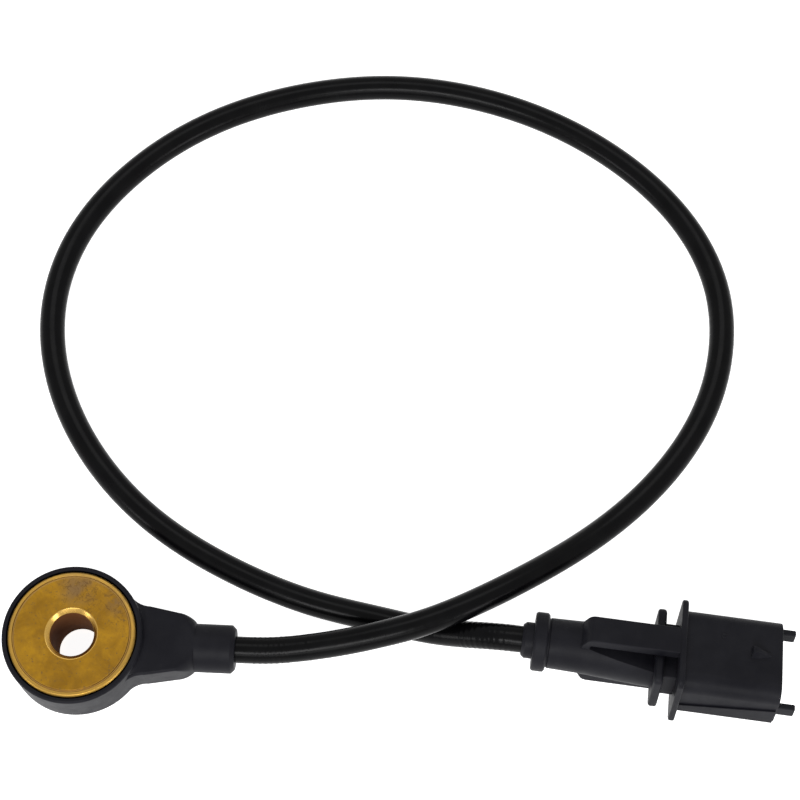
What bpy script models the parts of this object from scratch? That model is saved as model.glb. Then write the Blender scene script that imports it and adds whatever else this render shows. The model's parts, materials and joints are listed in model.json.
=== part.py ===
"""Engine knock sensor: a ring sensor on a brass sleeve, its cable and its two-pin plug.

The origin is on the bolt axis, at the sensor's back face. +Z points out of the brass
contact face, and +X points along the neck, towards the cable. The cable and the plug
lie on the same surface as the sensor. Units are metres.
"""

import math

import bmesh
import bpy
import numpy as np
from mathutils import Vector

mm = 0.001

# Fits and smoothness
GAP = 0.3 * mm            # clearance between pieces that touch
ROUND_STEPS = 56          # sides of the sleeve and the moulded body
RING_STEPS = 40           # sides of the rings inside
SMALL_STEPS = 32          # sides of the small turned pieces
WIRE_STEPS = 12           # sides of the cores and conductors
ARC_STEPS = 5             # straight runs in each rounded corner

# Brass sleeve
BORE_DIAMETER = 8.5 * mm
SENSOR_HEIGHT = 14.0 * mm
SLEEVE_DIAMETER = 13.0 * mm
FLANGE_DIAMETER = 24.6 * mm
FLANGE_THICKNESS = 2.5 * mm
BORE_CHAMFER = 0.75 * mm
RIM_WIDTH = 0.9 * mm      # outer land of the contact face
RIM_GROOVE = 0.3 * mm     # width and depth of the groove inside that land

# Moulded sensor body
BODY_DIAMETER = 27.0 * mm
BODY_INSET = 0.35 * mm    # the moulding stops this far short of the contact face
BODY_BOTTOM = 1.6 * mm    # the sleeve stands out of the moulding by this much
BODY_ROUNDING = 1.0 * mm
FOOT_ROUNDING = 2.0 * mm
FLOOR_THICKNESS = 0.85 * mm
CAVITY_DIAMETER = 21.6 * mm

# Neck and collar
NECK_TOP = 11.55 * mm
NECK_BOTTOM = 3.1 * mm
NECK_ROOT_WIDTH = 13.6 * mm
NECK_TIP_WIDTH = 11.4 * mm
NECK_FILLET = 5.0 * mm    # plan fillet between the body and the neck
NECK_TIP_X = 20.8 * mm
NECK_ROUNDING = 0.6 * mm
STEP_FILLET = 1.4 * mm    # hollow step from the neck's top up to the body
COLLAR_DIAMETER = 9.4 * mm
COLLAR_START_X = 23.2 * mm
COLLAR_END_X = 31.0 * mm
COLLAR_CHAMFER = 0.7 * mm
CABLE_HEIGHT = 6.8 * mm   # axis of the collar above the back face

# Sensing stack, from the flange down
WASHER_THICKNESS = 0.3 * mm
CONTACT_THICKNESS = 0.3 * mm
PIEZO_THICKNESS = 1.6 * mm
MASS_THICKNESS = 1.8 * mm
SPRING_THICKNESS = 0.4 * mm
SPRING_DISH = 0.3 * mm
NUT_THICKNESS = 1.0 * mm
TAB_WIDTH = 2.0 * mm
TAB_THICKNESS = 0.3 * mm
TAB_SPREAD = 1.6 * mm     # each contact's tab stands this far from the middle
TAB_STAGGER = 0.95 * mm   # the signal tab bends down this far outside the ground tab
TAB_REACH = 4.55 * mm     # the tabs run on this far past the outer bend

# Cable and cores
CABLE_DIAMETER = 5.2 * mm
CORE_DIAMETER = 1.7 * mm
CORE_SPREAD = 1.3 * mm    # each core lies this far from the cable's axis
CONDUCTOR_DIAMETER = 0.9 * mm
STRIPPED_LENGTH = 4.5 * mm
CABLE_SECTIONS = 78       # points on the cable's smooth curve
CABLE_SIDES = 3           # bevel resolution: ten sides

# Plug, measured along its own axis from the cable entry
PLUG_ENTRY = (86.4 * mm, 3.84 * mm, 9.75 * mm)
PLUG_YAW = math.radians(-5.25)
PLUG_ROLL = math.radians(-16.0)             # its top leans towards the loop
TAIL_RING = (0.0, 2.2 * mm, 7.0 * mm)       # start, end, diameter
GRIP_RING = (2.2 * mm, 4.9 * mm, 11.4 * mm)
BARREL_DIAMETER = 9.7 * mm
CONE_START_X = 11.0 * mm
CONE_START_DIAMETER = 10.0 * mm
CONE_END_DIAMETER = 11.8 * mm
BLOCK_START_X = 25.9 * mm
BLOCK_WIDTH = 11.8 * mm
BLOCK_HEIGHT = 6.6 * mm
SLOT_START_X = 12.9 * mm
SLOT_START_Z = 4.3 * mm                     # the slots' floors slope towards the axis
SLOT_END_Z = 2.9 * mm
BRIDGE_WIDTH = 5.6 * mm
BRIDGE_TOP = 7.6 * mm
BRIDGE_THICKNESS = 2.2 * mm
BRIDGE_START_X = 11.15 * mm
BRIDGE_RAMP = 1.35 * mm
FRONT_FLANGE_X = 29.7 * mm
FRONT_FLANGE = (1.2 * mm, 19.4 * mm, 15.5 * mm, 1.8 * mm)  # thickness, width, height, corner
REAR_FLANGE_X = 25.4 * mm
REAR_FLANGE = (1.7 * mm, 16.6 * mm, 10.9 * mm, 1.5 * mm)
SHROUD_END_X = 49.3 * mm
SHROUD_WIDTH = 17.6 * mm
SHROUD_BOTTOM = -3.1 * mm                   # the shroud sits high on the plug's axis
SHROUD_TOP = 6.25 * mm
SHROUD_CORNER = 3.1 * mm
SHROUD_WALL = 1.4 * mm
SHROUD_FLOOR_X = 34.5 * mm
RAIL_LEDGE = 0.35 * mm
RAIL_HEIGHT = 2.1 * mm     # at the front flange
RAIL_RISE = 2.3 * mm       # higher at the mouth
PRONG_LENGTH = 3.2 * mm
PRONG_SIZE = (1.4 * mm, 2.7 * mm)           # width, height
PRONG_Z = 0.95 * mm
NOSE_LENGTH = 3.75 * mm
NOSE_WIDTH = 2.2 * mm
NOSE_HEIGHT = 1.4 * mm
NOSE_SETBACK = 1.6 * mm   # from the mouth to the ramp's foot

# Plug's inner pieces
PIN_PITCH = 5.0 * mm
BLADE_WIDTH = 2.8 * mm
BLADE_THICKNESS = 0.8 * mm
BLADE_END_X = 44.0 * mm
BLADE_Z = 1.1 * mm        # the blades stand this far above the crimps
CARRIER_START_X = 20.3 * mm
CARRIER_END_X = 35.0 * mm
CARRIER_WIDTH = 8.8 * mm
CARRIER_HEIGHT = 2.0 * mm
CRIMP_START_X = 12.8 * mm
CRIMP_END_X = 17.0 * mm
CRIMP_WALL = 0.3 * mm

# The cable's route, chosen by hand, in millimetres: out of the collar, up over its own
# other end, once round on the surface, and back under to the plug
CABLE_ROUTE = [
    (31.3, 0.0, 6.8), (37.0, 0.1, 6.8), (45.5, 1.0, 7.5), (53.0, 2.3, 8.5), (59.7, 3.9, 9.3),
    (65.4, 5.6, 9.7), (72.7, 8.6, 9.8), (79.5, 12.2, 9.3), (86.0, 16.2, 8.1), (94.2, 22.0, 5.6),
    (102.4, 28.6, 3.4), (110.5, 36.3, 2.7), (117.7, 45.3, 2.7), (123.6, 56.5, 2.7),
    (126.6, 69.1, 2.7), (126.0, 82.3, 2.7), (121.3, 94.5, 2.7), (113.6, 104.7, 2.7),
    (104.4, 112.7, 2.7), (89.6, 121.2, 2.7), (74.6, 126.1, 2.7), (57.0, 128.1, 2.7),
    (37.0, 125.5, 2.7), (14.6, 116.2, 2.7), (0.9, 104.9, 2.7),
    (-9.6, 89.0, 2.7), (-13.0, 73.0, 2.7), (-10.3, 56.5, 2.7), (-1.2, 39.8, 2.7),
    (11.2, 27.4, 2.7), (29.0, 17.0, 2.7), (46.5, 10.8, 2.7), (60.0, 8.1, 2.7),
    (66.5, 6.85, 2.85), (71.0, 6.0, 4.05), (75.3, 5.2, 6.3), (79.5, 4.55, 8.5),
    (82.0, 4.25, 9.3), (84.2, 4.04, 9.67), (86.0, 3.875, 9.75),
]

# Levels that follow from the sizes above
FLANGE_UNDERSIDE = SENSOR_HEIGHT - FLANGE_THICKNESS
BODY_TOP = SENSOR_HEIGHT - BODY_INSET
LEDGE_Z = FLANGE_UNDERSIDE - GAP
FLOOR_TOP = BODY_BOTTOM + FLOOR_THICKNESS
STACK_INNER = SLEEVE_DIAMETER / 2 + GAP
STACK_OUTER = CAVITY_DIAMETER / 2 - GAP
GROUND_BEND_X = STACK_OUTER + GAP + TAB_THICKNESS
SIGNAL_BEND_X = GROUND_BEND_X + TAB_STAGGER
WELL_END_X = SIGNAL_BEND_X + TAB_THICKNESS / 2 + GAP + GAP / 3
TAB_END_X = SIGNAL_BEND_X + TAB_REACH
CORE_START_X = TAB_END_X + 1.4 * mm
CHAMBER_END_X = CORE_START_X - 2 * GAP
TAB_Z = CABLE_HEIGHT - CONDUCTOR_DIAMETER / 2 - GAP - TAB_THICKNESS / 2

MATERIALS = {
    "black_moulding": ((0.018, 0.018, 0.021), 0.55, 0.0),
    "brass": ((0.55, 0.36, 0.09), 0.38, 1.0),
    "cable_jacket": ((0.012, 0.012, 0.013), 0.28, 0.0),
    "steel": ((0.46, 0.46, 0.47), 0.35, 1.0),
    "spring_steel": ((0.30, 0.30, 0.32), 0.3, 1.0),
    "piezo_ceramic": ((0.62, 0.56, 0.45), 0.6, 0.0),
    "insulating_film": ((0.55, 0.25, 0.05), 0.4, 0.0),
    "tinned_contact": ((0.70, 0.69, 0.66), 0.3, 1.0),
    "copper": ((0.72, 0.31, 0.17), 0.35, 1.0),
    "core_white": ((0.75, 0.74, 0.70), 0.5, 0.0),
    "core_brown": ((0.14, 0.06, 0.03), 0.5, 0.0),
    "carrier_plastic": ((0.05, 0.05, 0.055), 0.5, 0.0),
}


def clear_scene():
    for obj in list(bpy.data.objects):
        bpy.data.objects.remove(obj, do_unlink=True)


def make_collection(name):
    collection = bpy.data.collections.new(name)
    bpy.context.scene.collection.children.link(collection)
    return collection


def make_material(name):
    colour, roughness, metallic = MATERIALS[name]
    material = bpy.data.materials.new(name)
    material.use_nodes = True
    shader = material.node_tree.nodes["Principled BSDF"]
    shader.inputs["Base Color"].default_value = (*colour, 1.0)
    shader.inputs["Roughness"].default_value = roughness
    shader.inputs["Metallic"].default_value = metallic
    material.diffuse_color = (*colour, 1.0)
    return material


def add_object(name, data, parent=None):
    """Every shape starts among the cutters; finish() makes one a part."""
    obj = bpy.data.objects.new(name, data)
    CUTTERS.objects.link(obj)
    obj.parent = parent
    obj.hide_render = True
    obj.display_type = "WIRE"
    return obj


def finish(obj, material_name):
    """Turn a shape into a part of the sensor with its own material."""
    CUTTERS.objects.unlink(obj)
    PARTS.objects.link(obj)
    obj.hide_render = False
    obj.display_type = "TEXTURED"
    obj.data.materials.clear()
    obj.data.materials.append(FINISHES[material_name])
    return obj


def turned(name, profile, steps, centre=(0.0, 0.0, 0.0), along="Z", parent=None):
    """Turn a profile of (radius, height) points, listed from the top down its outer side.

    A profile whose ends lie on the axis makes a solid; any other is closed into a ring.
    """
    mesh = bpy.data.meshes.new(name)
    points = [(radius, 0.0, height) for radius, height in profile]
    edges = [(i, i + 1) for i in range(len(points) - 1)]
    if profile[0][0] > 0.0:
        edges.append((len(points) - 1, 0))
    mesh.from_pydata(points, edges, [])
    obj = add_object(name, mesh, parent)
    obj.location = centre
    if along == "X":
        obj.rotation_euler = (0.0, math.pi / 2, 0.0)
    screw = obj.modifiers.new("Turn", "SCREW")
    screw.steps = steps
    screw.render_steps = steps
    screw.use_merge_vertices = True
    screw.merge_threshold = 0.00001
    screw.use_smooth_shade = False
    return obj


def flat_solid(name, outline, low, high, plane="XY", parent=None):
    """Extrude a closed outline between two levels of the axis that its plane leaves out."""
    curve = bpy.data.curves.new(name, "CURVE")
    curve.dimensions = "2D"
    curve.fill_mode = "BOTH"
    curve.extrude = (high - low) / 2
    spline = curve.splines.new("POLY")
    spline.points.add(len(outline) - 1)
    for point, (a, b) in zip(spline.points, outline):
        point.co = (a, b, 0.0, 1.0)
    spline.use_cyclic_u = True
    guide = bpy.data.objects.new(name + "_outline", curve)
    CUTTERS.objects.link(guide)
    turn = {"XY": (0.0, 0.0, 0.0), "XZ": (math.pi / 2, 0.0, 0.0), "YZ": (math.pi / 2, 0.0, math.pi / 2)}
    middle = (low + high) / 2
    place = {"XY": (0.0, 0.0, middle), "XZ": (0.0, middle, 0.0), "YZ": (middle, 0.0, 0.0)}
    guide.rotation_euler = turn[plane]
    guide.location = place[plane]
    bpy.context.view_layer.update()
    mesh = bpy.data.meshes.new_from_object(guide.evaluated_get(bpy.context.evaluated_depsgraph_get()))
    mesh.transform(guide.matrix_world)
    bpy.data.objects.remove(guide)
    shape = bmesh.new()
    shape.from_mesh(mesh)
    bmesh.ops.remove_doubles(shape, verts=shape.verts, dist=0.000001)
    bmesh.ops.dissolve_limit(shape, angle_limit=math.radians(0.5), verts=shape.verts, edges=shape.edges)
    bmesh.ops.recalc_face_normals(shape, faces=shape.faces)
    shape.to_mesh(mesh)
    shape.free()
    return add_object(name, mesh, parent)


def box(name, low, high, parent=None):
    """A block between two corners."""
    mesh = bpy.data.meshes.new(name)
    shape = bmesh.new()
    bmesh.ops.create_cube(shape, size=1.0)
    size = [b - a for a, b in zip(low, high)]
    middle = [(a + b) / 2 for a, b in zip(low, high)]
    bmesh.ops.scale(shape, vec=size, verts=shape.verts)
    bmesh.ops.translate(shape, vec=middle, verts=shape.verts)
    shape.to_mesh(mesh)
    shape.free()
    return add_object(name, mesh, parent)


def combine(target, tool, operation):
    modifier = target.modifiers.new(tool.name, "BOOLEAN")
    modifier.operation = operation
    modifier.solver = "EXACT"
    modifier.object = tool


def cut(target, tool):
    combine(target, tool, "DIFFERENCE")


def fuse(target, tool):
    combine(target, tool, "UNION")


def keep_inside(target, tool):
    combine(target, tool, "INTERSECT")


def soften(obj, width, segments=2):
    """Round the sharp edges and leave the shallow ones of an arc alone."""
    bevel = obj.modifiers.new("Rounding", "BEVEL")
    bevel.width = width
    bevel.segments = segments
    bevel.limit_method = "ANGLE"
    bevel.angle_limit = math.radians(50)


def arc(centre, radius, start, end, steps=ARC_STEPS):
    """Points on an arc, with its angles in degrees."""
    angles = np.radians(np.linspace(start, end, steps + 1))
    return [(centre[0] + radius * math.cos(a), centre[1] + radius * math.sin(a)) for a in angles]


def rounded_rectangle(width, height, top_corner, bottom_corner, middle):
    """An outline in Y and Z, round its middle height, anticlockwise from the bottom right."""
    half_w = width / 2
    low, high = middle - height / 2, middle + height / 2
    points = arc((half_w - bottom_corner, low + bottom_corner), bottom_corner, -90, 0)
    points += arc((half_w - top_corner, high - top_corner), top_corner, 0, 90)
    points += arc((top_corner - half_w, high - top_corner), top_corner, 90, 180)
    points += arc((bottom_corner - half_w, low + bottom_corner), bottom_corner, 180, 270)
    return points


def strip_outline(path, thickness):
    """Both edges of a bent strip, with mitred bends, from the middle line of its section."""
    points = [Vector(p) for p in path]
    left, right = [], []
    for i, point in enumerate(points):
        before = (point - points[i - 1]).normalized() if i else None
        after = (points[i + 1] - point).normalized() if i < len(points) - 1 else None
        before, after = before or after, after or before
        side = Vector((-before.y - after.y, before.x + after.x)).normalized()
        reach = thickness / 2 / side.dot(Vector((-before.y, before.x)))
        left.append(tuple(point + side * reach))
        right.append(tuple(point - side * reach))
    return left + right[::-1]


def smooth_route(points, count):
    """Evenly spaced points on a natural cubic spline through the given ones."""
    knots = np.array(points)
    spans = np.linalg.norm(np.diff(knots, axis=0), axis=1)
    t = np.concatenate([[0.0], np.cumsum(spans)])
    n = len(knots)
    system = np.eye(n)
    bends = np.zeros((n, 3))
    for i in range(1, n - 1):
        system[i, i - 1:i + 2] = spans[i - 1], 2 * (spans[i - 1] + spans[i]), spans[i]
        slope_after = (knots[i + 1] - knots[i]) / spans[i]
        slope_before = (knots[i] - knots[i - 1]) / spans[i - 1]
        bends[i] = 6 * (slope_after - slope_before)
    second = np.linalg.solve(system, bends)

    def position(u):
        i = min(int(np.searchsorted(t, u, side="right")) - 1, n - 2)
        a, b = (t[i + 1] - u) / spans[i], (u - t[i]) / spans[i]
        curve = (a ** 3 - a) * second[i] + (b ** 3 - b) * second[i + 1]
        return a * knots[i] + b * knots[i + 1] + curve * spans[i] ** 2 / 6

    fine = np.array([position(u) for u in np.linspace(0.0, t[-1], 2000)])
    run = np.concatenate([[0.0], np.cumsum(np.linalg.norm(np.diff(fine, axis=0), axis=1))])
    places = np.linspace(0.0, run[-1], count)
    return np.column_stack([np.interp(places, run, fine[:, k]) for k in range(3)])


def make_base_sleeve():
    """Brass sleeve that the bolt clamps: its flange is the contact face."""
    flange, bore = FLANGE_DIAMETER / 2, BORE_DIAMETER / 2
    tube = SLEEVE_DIAMETER / 2
    groove_out = flange - RIM_WIDTH
    groove_in = groove_out - RIM_GROOVE
    foot = BORE_CHAMFER
    top = SENSOR_HEIGHT
    profile = [
        (bore + BORE_CHAMFER, top), (groove_in, top), (groove_in, top - RIM_GROOVE),
        (groove_out, top - RIM_GROOVE), (groove_out, top - RIM_GROOVE / 3),
        (flange - RIM_GROOVE, top - RIM_GROOVE / 3), (flange, top - RIM_GROOVE * 4 / 3),
        (flange, FLANGE_UNDERSIDE), (tube, FLANGE_UNDERSIDE), (tube, 0.0),
        (bore + foot, 0.0), (bore, foot), (bore, top - BORE_CHAMFER),
    ]
    finish(turned("base_sleeve", profile, ROUND_STEPS), "brass")


def body_profile():
    """Section of the moulded ring: a round tub with a floor and a ledge for the flange."""
    outer, foot = BODY_DIAMETER / 2, FOOT_ROUNDING
    pocket = FLANGE_DIAMETER / 2 + GAP
    cavity = CAVITY_DIAMETER / 2
    hole = SLEEVE_DIAMETER / 2 + GAP
    lip = min(BODY_ROUNDING, (outer - pocket) * 0.6)
    upper = arc((outer - lip, BODY_TOP - lip), lip, 90, 0, 4)
    lower = arc((outer - foot, BODY_BOTTOM + foot), foot, 0, -90, 5)
    inner = [
        (hole, BODY_BOTTOM), (hole, FLOOR_TOP), (cavity, FLOOR_TOP),
        (cavity, LEDGE_Z), (pocket, LEDGE_Z), (pocket, BODY_TOP),
    ]
    return upper + lower + inner


def neck_outline(inset=0.0):
    """Plan of the neck: hollow fillets off the body, a taper, and rounded shoulders."""
    body, fillet = BODY_DIAMETER / 2, NECK_FILLET + inset
    half_root, half_tip = NECK_ROOT_WIDTH / 2 - inset, NECK_TIP_WIDTH / 2 - inset
    centre_y = half_root + fillet
    centre_x = math.sqrt((body + fillet) ** 2 - centre_y ** 2)
    tangent = math.degrees(math.atan2(centre_y, centre_x))
    collar = COLLAR_DIAMETER / 2 - NECK_ROUNDING / 2
    shoulder = half_tip - collar
    side = [(0.0, (body - fillet) * math.sin(math.radians(tangent)))]
    side += arc((centre_x, centre_y), fillet * 1.02, 180 + tangent, 270)
    side += arc((NECK_TIP_X, collar), shoulder, 90, 0, 4)
    side.append((COLLAR_START_X, collar - NECK_ROUNDING / 2))
    return side + [(x, -y) for x, y in reversed(side)]


def make_sensor_housing():
    """Moulded body, neck and collar in one piece, hollow for the stack and the wires."""
    housing = turned("sensor_housing", body_profile(), ROUND_STEPS)

    neck = flat_solid("neck", neck_outline(), NECK_BOTTOM, NECK_TOP)
    soften(neck, NECK_ROUNDING, 3)
    cut(neck, turned("neck_clearance", [
        (0.0, SENSOR_HEIGHT), (BODY_DIAMETER / 2 - BODY_ROUNDING, SENSOR_HEIGHT),
        (BODY_DIAMETER / 2 - BODY_ROUNDING, 0.0), (0.0, 0.0),
    ], ROUND_STEPS))
    fuse(housing, neck)

    outer = BODY_DIAMETER / 2
    step_top = NECK_TOP + STEP_FILLET
    hollow = arc((outer + STEP_FILLET, step_top), STEP_FILLET, 180, 270)
    inside = outer - BODY_ROUNDING / 2
    step = turned("neck_step", [(inside, step_top)] + hollow + [
        (outer + STEP_FILLET, NECK_TOP - NECK_ROUNDING), (inside, NECK_TOP - NECK_ROUNDING),
    ], ROUND_STEPS)
    keep_inside(step, flat_solid("neck_step_plan", neck_outline(NECK_ROUNDING / 2), NECK_BOTTOM, SENSOR_HEIGHT))
    fuse(housing, step)

    radius, chamfer = COLLAR_DIAMETER / 2, COLLAR_CHAMFER
    axis = (0.0, 0.0, CABLE_HEIGHT)
    collar = turned("collar", [
        (0.0, COLLAR_END_X), (radius - chamfer, COLLAR_END_X), (radius, COLLAR_END_X - chamfer),
        (radius, NECK_TIP_X - NECK_ROUNDING), (0.0, NECK_TIP_X - NECK_ROUNDING),
    ], SMALL_STEPS, axis, "X")
    fuse(housing, collar)

    reach = TAB_SPREAD + TAB_WIDTH / 2 + GAP
    floor = TAB_Z - TAB_THICKNESS / 2 - GAP
    inner = CAVITY_DIAMETER / 2 - 1.2 * mm
    chamber_top = CABLE_HEIGHT + CORE_DIAMETER / 2 + GAP
    cut(housing, box("tab_well", (inner, -reach, floor + GAP / 2), (WELL_END_X, reach, LEDGE_Z - 1.5 * GAP)))
    cut(housing, box("solder_chamber", (inner + GAP, -reach + GAP / 4, floor),
                     (CHAMBER_END_X, reach - GAP / 4, chamber_top)))
    bore = CORE_DIAMETER / 2 + GAP
    for side, y in (("signal", CORE_SPREAD), ("ground", -CORE_SPREAD)):
        hole = turned(side + "_core_hole", [
            (0.0, COLLAR_END_X + GAP), (bore, COLLAR_END_X + GAP),
            (bore, CHAMBER_END_X - GAP), (0.0, CHAMBER_END_X - GAP),
        ], WIRE_STEPS, (0.0, y, CABLE_HEIGHT), "X")
        cut(housing, hole)
    finish(housing, "black_moulding")


def ring(name, top, thickness, material_name):
    """One flat ring of the stack; returns the level that the next one starts from."""
    bottom = top - thickness
    profile = [(STACK_INNER, top), (STACK_OUTER, top), (STACK_OUTER, bottom), (STACK_INNER, bottom)]
    finish(turned(name, profile, RING_STEPS), material_name)
    return bottom - GAP


def contact_ring(name, top, side, bend_x, material_name):
    """Contact ring with a tab that bends down to the wire it is soldered to."""
    bottom = top - CONTACT_THICKNESS
    level = (top + bottom) / 2
    contact = turned(name, [
        (STACK_INNER, top), (STACK_OUTER, top), (STACK_OUTER, bottom), (STACK_INNER, bottom),
    ], RING_STEPS)
    root = (STACK_INNER + STACK_OUTER) / 2
    path = [(root, level), (bend_x, level), (bend_x, TAB_Z), (TAB_END_X, TAB_Z)]
    y = side * TAB_SPREAD
    tab = flat_solid(name + "_tab", strip_outline(path, TAB_THICKNESS),
                     y - TAB_WIDTH / 2, y + TAB_WIDTH / 2, "XZ")
    fuse(contact, tab)
    finish(contact, material_name)
    return bottom - GAP


def make_sensing_stack():
    """Washers, contacts, piezo ring, seismic mass, spring and nut, down the sleeve."""
    level = ring("upper_insulating_washer", FLANGE_UNDERSIDE - GAP, WASHER_THICKNESS, "insulating_film")
    level = contact_ring("signal_contact_ring", level, 1, SIGNAL_BEND_X, "tinned_contact")
    level = ring("piezo_ring", level, PIEZO_THICKNESS, "piezo_ceramic")
    level = contact_ring("ground_contact_ring", level, -1, GROUND_BEND_X, "tinned_contact")
    level = ring("lower_insulating_washer", level, WASHER_THICKNESS, "insulating_film")
    level = ring("seismic_mass", level, MASS_THICKNESS, "steel")
    profile = [
        (STACK_INNER, level), (STACK_OUTER, level - SPRING_DISH),
        (STACK_OUTER, level - SPRING_DISH - SPRING_THICKNESS), (STACK_INNER, level - SPRING_THICKNESS),
    ]
    finish(turned("disc_spring", profile, RING_STEPS), "spring_steel")
    level -= SPRING_DISH + SPRING_THICKNESS + GAP
    ring("ring_nut", level, NUT_THICKNESS, "steel")


def rod(name, radius, start, end, y, z, material_name, parent=None):
    profile = [(0.0, end), (radius, end), (radius, start), (0.0, start)]
    finish(turned(name, profile, WIRE_STEPS, (0.0, y, z), "X", parent), material_name)


def make_sensor_wires():
    """Insulated cores in the collar, with their bare ends on the contact tabs."""
    for side, y, colour in (("signal", CORE_SPREAD, "core_white"), ("ground", -CORE_SPREAD, "core_brown")):
        rod("sensor_" + side + "_core", CORE_DIAMETER / 2, CORE_START_X, COLLAR_END_X, y, CABLE_HEIGHT, colour)
        bare_end = CORE_START_X - GAP
        rod("sensor_" + side + "_conductor", CONDUCTOR_DIAMETER / 2, bare_end - STRIPPED_LENGTH,
            bare_end, y, CABLE_HEIGHT, "copper")


def make_cable():
    """Round cable jacket along its route on the surface."""
    curve = bpy.data.curves.new("cable", "CURVE")
    curve.dimensions = "3D"
    curve.bevel_depth = CABLE_DIAMETER / 2
    curve.bevel_resolution = CABLE_SIDES
    curve.use_fill_caps = True
    knots = [[value * mm for value in point] for point in CABLE_ROUTE]
    route = list(smooth_route(knots[:-1], CABLE_SECTIONS - 1)) + [knots[-1]]   # straight into the plug
    spline = curve.splines.new("POLY")
    spline.points.add(len(route) - 1)
    for point, place in zip(spline.points, route):
        point.co = (*place, 1.0)
    finish(add_object("cable", curve), "cable_jacket")


def plug_tail_profile():
    """Outer form behind the flanges: entry ring, grip ring, barrel and cone."""
    ring_start, ring_end, ring_size = TAIL_RING
    grip_start, grip_end, grip_size = GRIP_RING
    edge = 0.4 * mm
    block_end = FRONT_FLANGE_X + FRONT_FLANGE[0] / 2
    return [
        (0.0, block_end), (CONE_END_DIAMETER / 2 - edge, block_end),
        (CONE_END_DIAMETER / 2 - edge, REAR_FLANGE_X + edge), (CONE_END_DIAMETER / 2, REAR_FLANGE_X + edge),
        (CONE_START_DIAMETER / 2, CONE_START_X),
        (BARREL_DIAMETER / 2, grip_end), (grip_size / 2 - edge, grip_end),
        (grip_size / 2, grip_end - edge), (grip_size / 2, grip_start + edge),
        (grip_size / 2 - edge, grip_start), (ring_size / 2, grip_start),
        (ring_size / 2, ring_start + edge), (ring_size / 2 - edge, ring_start), (0.0, ring_start),
    ]


def slot_outline(sign):
    """Side view of the cut under one bridge: its floor slopes down to the rear flange."""
    far = FRONT_FLANGE_X + FRONT_FLANGE[0]
    side = [
        (SLOT_START_X, SLOT_START_Z), (REAR_FLANGE_X + GAP, SLOT_END_Z), (far, SLOT_END_Z),
        (far, BRIDGE_TOP), (SLOT_START_X, BRIDGE_TOP),
    ]
    return [(x, sign * z) for x, z in side]


def bridge_outline(sign):
    """Side view of one bridge: a ramp up from the cone, and a bar on to the front flange."""
    under = BRIDGE_TOP - BRIDGE_THICKNESS
    root = SLOT_START_Z - 2 * GAP
    end = FRONT_FLANGE_X + FRONT_FLANGE[0] / 3
    side = [
        (BRIDGE_START_X, root), (BRIDGE_START_X, under - GAP), (BRIDGE_START_X + BRIDGE_RAMP, BRIDGE_TOP),
        (end, BRIDGE_TOP), (end, under), (SLOT_START_X, under), (SLOT_START_X, root),
    ]
    return [(x, sign * z) for x, z in side]


def shroud_outline():
    """Section of the shroud: round upper corners and square lower ones."""
    half, corner = SHROUD_WIDTH / 2, SHROUD_CORNER
    right = [(half, SHROUD_BOTTOM)] + arc((half - corner, SHROUD_TOP - corner), corner, 0, 90, 6)
    return right + [(-y, z) for y, z in reversed(right)]


def rail_outline():
    """Side view of the rails along the shroud's lower sides, higher towards the mouth."""
    start, end = FRONT_FLANGE_X + FRONT_FLANGE[0] / 2, SHROUD_END_X - GAP
    low = SHROUD_BOTTOM - GAP / 6
    high = low + RAIL_HEIGHT
    return [(start, low), (end, low), (end, high + RAIL_RISE), (start, high)]


def add_plug_tail(housing, frame):
    """Slots, block and bridges on the turned tail."""
    half_w, half_h = BLOCK_WIDTH / 2, BLOCK_HEIGHT / 2
    reach = SHROUD_WIDTH / 2
    for name, sign in (("upper_slot", 1), ("lower_slot", -1)):
        cut(housing, flat_solid(name, slot_outline(sign), -reach, reach, "XZ", frame))
    fuse(housing, box("flange_block", (BLOCK_START_X, -half_w, -half_h),
                      (FRONT_FLANGE_X + FRONT_FLANGE[0] - GAP, half_w, half_h), frame))
    for name, sign in (("upper_bridge", 1), ("lower_bridge", -1)):
        fuse(housing, flat_solid(name, bridge_outline(sign), -BRIDGE_WIDTH / 2, BRIDGE_WIDTH / 2, "XZ", frame))


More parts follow.
